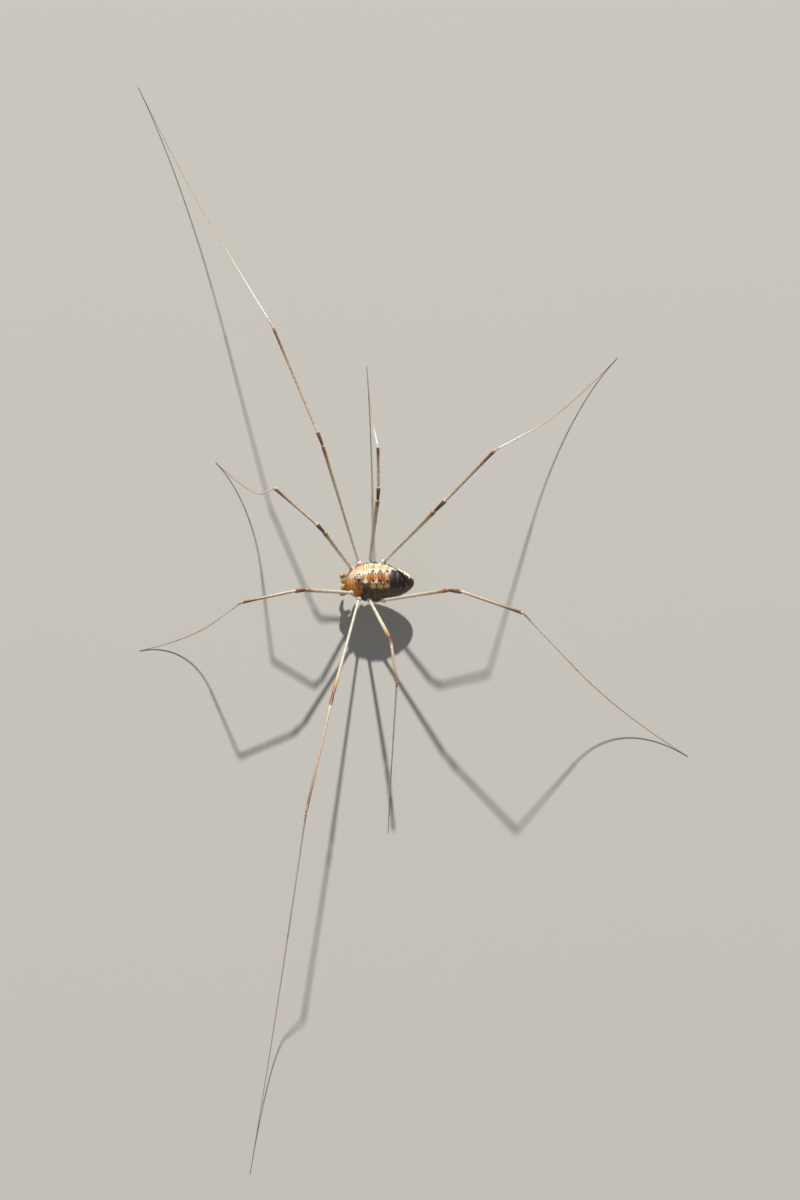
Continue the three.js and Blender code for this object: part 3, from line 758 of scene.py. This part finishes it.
pebble = add_node(tree, "ShaderNodeTexVoronoi", {"Vector": centred, "Scale": PEBBLES_PER_MM})
relief = add_node(tree, "ShaderNodeBump", {
    "Height": pebble.outputs["Distance"], "Strength": 0.55, "Distance": 0.03 * MM})
tree.links.new(relief.outputs["Normal"], shader.inputs["Normal"])
gloss = add_node(tree, "ShaderNodeMapRange", {"Value": fine, "To Min": 0.38, "To Max": 0.62})
tree.links.new(gloss.outputs["Result"], shader.inputs["Roughness"])
shader.inputs["IOR"].default_value = 1.56

bm = bmesh.new()
bmesh.ops.create_uvsphere(bm, u_segments=BODY_ROUND, v_segments=BODY_RINGS, radius=1)
for vert in bm.verts:
    vert.co = body_point(BODY_FRONT + (1 - vert.co.z) / 2 * BODY_LENGTH, math.atan2(vert.co.y, vert.co.x))
finish_piece(bm, "body_skin", [cuticle], ["prosoma", "opisthosoma"])

# Tubercles
# Each ring of the back carries a row of tiny dark horn points, and there are four rows more on
# the head. They are cones sunk in the skin and leaning to the rear.
TUBERCLE = {"length": 0.11, "girth": 0.028, "spacing": 0.27, "lean": 0.7, "drift": 0.07}
TUBERCLE_PLACE = (0.3, 0.7)
TUBERCLE_SIZE = (0.7, 1.2)
FEWEST_IN_ROW = 4
ROW_PLACES = [-1.07, -0.52, 0.13, 0.8, 1.42, 2.0, 2.52, 2.95]
HEAD_ROWS = [-2.85, -2.6, -2.3, -1.6]
bm = bmesh.new()
for x in ROW_PLACES + HEAD_ROWS:
    half_width = body_point(x, 0).y
    count = max(FEWEST_IN_ROW, round(math.pi * half_width / TUBERCLE["spacing"]))
    for i in range(count):
        turn = math.pi * (i + rng.uniform(*TUBERCLE_PLACE)) / count
        drift = rng.uniform(-TUBERCLE["drift"], TUBERCLE["drift"])
        place = x + drift + GROOVE_BEND * math.cos(turn) ** 2
        root = body_point(place, turn)
        out_way = (body_point(place, turn, lift=0.1) - root).normalized()
        size = TUBERCLE["length"] * rng.uniform(*TUBERCLE_SIZE)
        spine(bm, root, out_way + Vector((TUBERCLE["lean"], 0, 0)), size, TUBERCLE["girth"])
finish_piece(bm, "back_tubercles", [spine_horn], ["prosoma", "opisthosoma"])

# Coxae
# The fixed hip pieces fan out under the body as pale horny lobes, each from beside the midline
# to the hip ball, with a fringe of short spines along its front and rear edge.
COXA_DROP = 1.2
COXA_ROOTS = {1: (-2.25, 0.75), 2: (-1.62, 0.85), 3: (-0.9, 0.88), 4: (-0.15, 0.88)}
COXA_OUTLINE = [(-0.25, 0.05), (-0.15, 0.15), (0.0, 0.21), (0.2, 0.25), (0.5, 0.29), (0.75, 0.3),
                (0.92, 0.27), (1.0, 0.2), (1.03, 0.1)]
COXA_ACROSS = 1.08
COXA_DEEP = 0.95
COXA_SIDES = 20
COXA_SPINES = {"count": 6, "first": 0.2, "spacing": 0.12, "length": 0.1, "girth": 0.022, "lean": 0.4}
COXA_SPINE_DROP = 0.35
coxa_horn, tree, shader = new_material("pale_hip_cuticle")
place = add_node(tree, "ShaderNodeTexCoord").outputs["Object"]
speckle = add_node(tree, "ShaderNodeTexNoise", {
    "Vector": place, "Scale": 1 / (0.25 * MM), "Detail": 4.0, "Roughness": 0.6})
colour = add_node(tree, "ShaderNodeValToRGB", {"Fac": speckle.outputs["Fac"]}, [
    (0.3, "#8A6A3A"), (0.45, "#BFA468"), (0.55, "#D6C598"), (0.7, "#EAE2CC")])
tree.links.new(colour.outputs["Color"], shader.inputs["Base Color"])
shader.inputs["Roughness"].default_value = 0.45
shader.inputs["IOR"].default_value = 1.56
for pair in LEGS:
    for side_name, sign in SIDES.items():
        root = Vector((COXA_ROOTS[pair][0], sign * COXA_ROOTS[pair][1], BODY_HEIGHT - COXA_DROP))
        hip = Vector((HIPS[pair][0], sign * HIPS[pair][1], BODY_HEIGHT + HIP_RISE))
        along = (hip - root).normalized()
        side = along.cross(Vector((0, 0, 1))).normalized()
        reach = (hip - root).length
        bm = bmesh.new()
        rings = [ring(root + along * reach * p, along, side, r * COXA_ACROSS, r * COXA_DEEP)
                 for p, r in COXA_OUTLINE]
        sweep(bm, rings, COXA_SIDES)
        for edge in (1, -1):
            out_way = side * edge - along.cross(side) * COXA_SPINE_DROP * edge
            for i in range(COXA_SPINES["count"]):
                place = COXA_SPINES["first"] + COXA_SPINES["spacing"] * i
                spot = root + along * reach * place + out_way.normalized() * sample(COXA_OUTLINE, place)
                spine(bm, spot, out_way + along * COXA_SPINES["lean"], COXA_SPINES["length"],
                      COXA_SPINES["girth"], 1)
        name = f"leg_{pair}_{side_name}_coxa"
        finish_piece(bm, f"{name}_lobe", [coxa_horn, spine_horn], [name])

# Belly plate
# The genital plate, a smooth pale tongue, reaches forward between the coxae from the belly. Its
# course is [x, half width, half height].
PLATE = [(-2.15, 0.12, 0.05), (-2.1, 0.26, 0.1), (-1.9, 0.4, 0.16), (-1.4, 0.5, 0.2), (-0.7, 0.58, 0.22),
         (0.0, 0.66, 0.2), (0.5, 0.6, 0.14), (0.75, 0.4, 0.06)]
PLATE_HEIGHT = -1.28
PLATE_SIDES = 28
bm = bmesh.new()
forward = Vector((1, 0, 0))
rings = [ring(Vector((x, 0, BODY_HEIGHT + PLATE_HEIGHT)), forward, Vector((0, 1, 0)), width, height)
         for x, width, height in PLATE]
sweep(bm, rings, PLATE_SIDES)
finish_piece(bm, "genital_plate", [coxa_horn], ["prosoma", "opisthosoma"])

# Eyes
# Two glossy black lenses stand on the sides of a pale furrowed hill on the back of the head. Each
# side of the hill has a row of small points over the eye.
HILL = {"x": -1.9, "length": 0.4, "width": 0.33, "height": 0.52}
FURROW = {"depth": 0.12, "width": 0.16}
EYE_RADIUS = 0.17
EYE_OUT = 0.22
EYE_RISE = 0.27
EYE_FORWARD = 0.02
EYE_FACING = (-0.05, 0.12)
EYELID = {"width": 1.12, "depth": 0.55, "shift": 0.03, "end": 0.2, "rings": 8, "sides": 28}
HILL_POINTS = {"count": 5, "spread": 2.6, "out": 0.13, "sunk": 0.93, "length": 0.13, "girth": 0.026}
HILL_POINT_LEAN = (0.8, 0.3)
hill_foot = body_point(HILL["x"], math.pi / 2)
hill_skin, tree, shader = new_material("pale_eye_hill_cuticle")
place = add_node(tree, "ShaderNodeTexCoord").outputs["Object"]
speckle = add_node(tree, "ShaderNodeTexNoise", {
    "Vector": place, "Scale": 1 / (0.16 * MM), "Detail": 4.0, "Roughness": 0.6})
colour = add_node(tree, "ShaderNodeValToRGB", {"Fac": speckle.outputs["Fac"]}, [
    (0.34, "#9A6A3C"), (0.46, "#D0B088"), (0.6, "#ECE4D8")])
tree.links.new(colour.outputs["Color"], shader.inputs["Base Color"])
shader.inputs["Roughness"].default_value = 0.4
shader.inputs["IOR"].default_value = 1.56
bm = bmesh.new()
bmesh.ops.create_uvsphere(bm, u_segments=48, v_segments=32, radius=1)
for vert in bm.verts:
    furrow = FURROW["depth"] * math.exp(-(vert.co.y / FURROW["width"]) ** 2) * max(0.0, vert.co.z)
    vert.co = Vector((
        HILL["x"] + vert.co.x * HILL["length"],
        vert.co.y * HILL["width"],
        hill_foot.z + (vert.co.z - furrow) * HILL["height"],
    ))
for sign in SIDES.values():
    for i in range(HILL_POINTS["count"]):
        place = (i - (HILL_POINTS["count"] - 1) / 2) / HILL_POINTS["spread"]
        rise = HILL_POINTS["sunk"] * math.sqrt(1 - place * place) * HILL["height"]
        root = Vector((
            HILL["x"] + place * HILL["length"],
            sign * HILL_POINTS["out"],
            hill_foot.z + rise,
        ))
        towards = Vector((place * HILL_POINT_LEAN[0], sign * HILL_POINT_LEAN[1], 1))
        spine(bm, root, towards, HILL_POINTS["length"], HILL_POINTS["girth"], 1)
finish_piece(bm, "ocularium", [hill_skin, spine_horn], ["prosoma"])

lens_horn, tree, shader = new_material("black_lens")
place = add_node(tree, "ShaderNodeTexCoord").outputs["Object"]
speckle = add_node(tree, "ShaderNodeTexNoise", {"Vector": place, "Scale": 1 / (0.2 * MM)})
colour = add_node(tree, "ShaderNodeValToRGB", {"Fac": speckle.outputs["Fac"]}, [
    (0.4, "#0A0807"), (0.6, "#191210")])
tree.links.new(colour.outputs["Color"], shader.inputs["Base Color"])
shader.inputs["Roughness"].default_value = 0.08
shader.inputs["Coat Weight"].default_value = 0.6
shader.inputs["Coat Roughness"].default_value = 0.04
for side_name, sign in SIDES.items():
    centre = Vector((HILL["x"] - EYE_FORWARD, sign * EYE_OUT, hill_foot.z + EYE_RISE))
    bm = bmesh.new()
    bmesh.ops.create_uvsphere(bm, u_segments=40, v_segments=24, radius=EYE_RADIUS)
    bmesh.ops.translate(bm, vec=centre, verts=bm.verts)
    finish_piece(bm, f"eye_{side_name}_lens", [lens_horn], [f"eye_{side_name}"])
    bm = bmesh.new()
    outward = Vector((EYE_FACING[0], sign, EYE_FACING[1])).normalized()
    rings = []
    for i in range(EYELID["rings"] + 1):
        turn = math.pi * i / EYELID["rings"]
        depth = EYE_RADIUS * EYELID["depth"] * math.cos(turn)
        rings.append(ring(centre - outward * (depth + EYELID["shift"]), outward, Vector((1, 0, 0)),
                          EYE_RADIUS * EYELID["width"] * max(EYELID["end"], math.sin(turn))))
    sweep(bm, rings, EYELID["sides"])
    finish_piece(bm, f"eye_{side_name}_rim", [hill_skin], ["prosoma"])

# Mouthparts
# Two small two-fingered pincers hang under the front of the head, with a short jointed feeler
# outside each. Both are amber cuticle, paler at the joints, and the fingers have dark tips.
PINCER_SIDES = 18
# The course of each part: [x, distance from the midline, z from the body's centre, half width]
PINCER = {
    "base": [(-2.7, 0.34, -0.66, 0.16), (-2.85, 0.34, -0.62, 0.24), (-3.08, 0.34, -0.56, 0.28),
             (-3.28, 0.34, -0.54, 0.26), (-3.42, 0.34, -0.56, 0.15)],
    "hand": [(-3.32, 0.34, -0.48, 0.12), (-3.38, 0.34, -0.57, 0.22), (-3.43, 0.34, -0.78, 0.24),
             (-3.43, 0.34, -0.98, 0.185), (-3.4, 0.36, -1.12, 0.1), (-3.36, 0.37, -1.28, 0.055),
             (-3.34, 0.33, -1.42, 0.015)],
    "finger": [(-3.43, 0.26, -0.94, 0.05), (-3.39, 0.22, -1.1, 0.066), (-3.35, 0.22, -1.27, 0.046),
               (-3.34, 0.27, -1.42, 0.013)],
}
# How much broader than high each part of a pincer is, and how dark its end is
PINCER_BROAD = {"base": 1.25, "hand": 1.3, "finger": 1.0}
PINCER_DARK = {"base": 0.8, "hand": 1.0, "finger": 1.0}
FEELER_JOINTS = [(-2.75, 0.55, -1.15), (-3.12, 0.86, -0.74), (-3.48, 0.94, -0.76), (-3.58, 0.86, -1.25),
                 (-3.4, 0.66, -1.95)]
FEELER_GIRTHS = [0.18, 0.21, 0.2, 0.155]
FEELER_OUTLINE = [(-0.08, 0.3), (0.0, 0.72), (0.12, 0.84), (0.5, 0.95), (0.82, 1.08), (0.96, 0.95),
                  (1.02, 0.5)]
FEELER_TIP = [(-0.05, 0.3), (0.0, 0.7), (0.12, 0.95), (0.4, 1.0), (0.75, 0.72), (0.95, 0.42), (1.0, 0.15)]
FEELER_SIDES = 16
# Darkness of a feeler's joints at their start, and how much it grows along them
FEELER_DARK = (0.08, 0.75)
FEELER_SPINES = {"rows": 5, "in_row": 4, "spacing": 4.4, "length": 0.13, "girth": 0.013, "dark": 0.5}
FEELER_SPINE_PLACE = (0.3, 0.8)
FEELER_SPINE_TURN = 0.2
mouth_horn, tree, shader = new_material("amber_cuticle")
along_piece = add_node(tree, "ShaderNodeAttribute", attribute_name="along")
place = add_node(tree, "ShaderNodeTexCoord").outputs["Object"]
speckle = add_node(tree, "ShaderNodeTexNoise", {
    "Vector": place, "Scale": 1 / (0.15 * MM), "Detail": 4.0, "Roughness": 0.6})
amber = add_node(tree, "ShaderNodeValToRGB", {"Fac": along_piece.outputs["Fac"]}, [
    (0.0, "#E3D2A2"), (0.15, "#D6B261"), (0.5, "#C9963F"), (0.8, "#B87A30"), (0.93, "#8A5426"),
    (1.0, "#3A2416")])
shade = add_node(tree, "ShaderNodeMapRange", {
    "Value": speckle.outputs["Fac"], "From Min": 0.3, "From Max": 0.7, "To Min": 0.7, "To Max": 1.15})
colour = add_node(tree, "ShaderNodeVectorMath", {
    0: amber.outputs["Color"], 1: shade.outputs["Result"]}, operation="MULTIPLY")
tree.links.new(colour.outputs["Vector"], shader.inputs["Base Color"])
shader.inputs["Roughness"].default_value = 0.36
shader.inputs["IOR"].default_value = 1.56


def smooth_course(points, steps=5):
    """Points on a smooth curve through the given ones, each a vector with a half width."""
    made = []
    for i in range(len(points) - 1):
        around = [Vector(points[min(max(j, 0), len(points) - 1)]) for j in (i - 1, i, i + 1, i + 2)]
        for step in range(steps):
            t = step / steps
            a, b, c, d = around
            made.append(0.5 * (2 * b + (c - a) * t + (2 * a - 5 * b + 4 * c - d) * t ** 2
                               + (3 * b - a - 3 * c + d) * t ** 3))
    made.append(Vector(points[-1]))
    return made


for side_name, sign in SIDES.items():
    bm = bmesh.new()
    layer = bm.verts.layers.float.new("along")
    for part, points in PINCER.items():
        course = smooth_course([(x, sign * y, BODY_HEIGHT + z, girth) for x, y, z, girth in points])
        spots = [point.to_3d() for point in course]
        rings, values = [], []
        for i, spot in enumerate(spots):
            along = (spots[min(i + 1, len(spots) - 1)] - spots[max(i - 1, 0)]).normalized()
            side = (Vector((0, 1, 0)) - along * along.y).normalized()
            rings.append(ring(spot, along, side, course[i].w * PINCER_BROAD[part], course[i].w))
            values.append(i / (len(spots) - 1) * PINCER_DARK[part])
        sweep(bm, rings, PINCER_SIDES, layer, values)
    finish_piece(bm, f"chelicera_{side_name}_horn", [mouth_horn], [f"chelicera_{side_name}"])

    bm = bmesh.new()
    layer = bm.verts.layers.float.new("along")
    joints = [Vector((x, sign * y, BODY_HEIGHT + z)) for x, y, z in FEELER_JOINTS]
    for i, (start, end) in enumerate(zip(joints, joints[1:])):
        last = i == len(joints) - 2
        outline = FEELER_TIP if last else FEELER_OUTLINE
        along = (end - start).normalized()
        side = (Vector((0, 1, 0)) - along * along.y).normalized()
        rings = [ring(start.lerp(end, p), along, side, FEELER_GIRTHS[i] * r) for p, r in outline]
        values = [p if last else FEELER_DARK[0] + FEELER_DARK[1] * max(0.0, p) for p, _ in outline]
        sweep(bm, rings, FEELER_SIDES, layer, values)
        for row in range(FEELER_SPINES["rows"]):
            for step in range(FEELER_SPINES["in_row"]):
                p = (step + rng.uniform(*FEELER_SPINE_PLACE)) / FEELER_SPINES["spacing"]
                drift = rng.uniform(-FEELER_SPINE_TURN, FEELER_SPINE_TURN)
                turn = 2 * math.pi * (row + drift) / FEELER_SPINES["rows"]
                out_way = side * math.cos(turn) + along.cross(side) * math.sin(turn)
                root = start.lerp(end, p) + out_way * FEELER_GIRTHS[i] * sample(outline, p)
                spine(bm, root, out_way + along, FEELER_SPINES["length"], FEELER_SPINES["girth"], 1,
                      layer, FEELER_SPINES["dark"])
    finish_piece(bm, f"pedipalp_{side_name}_horn", [mouth_horn, spine_horn],
                 [f"pedipalp_{side_name}"])
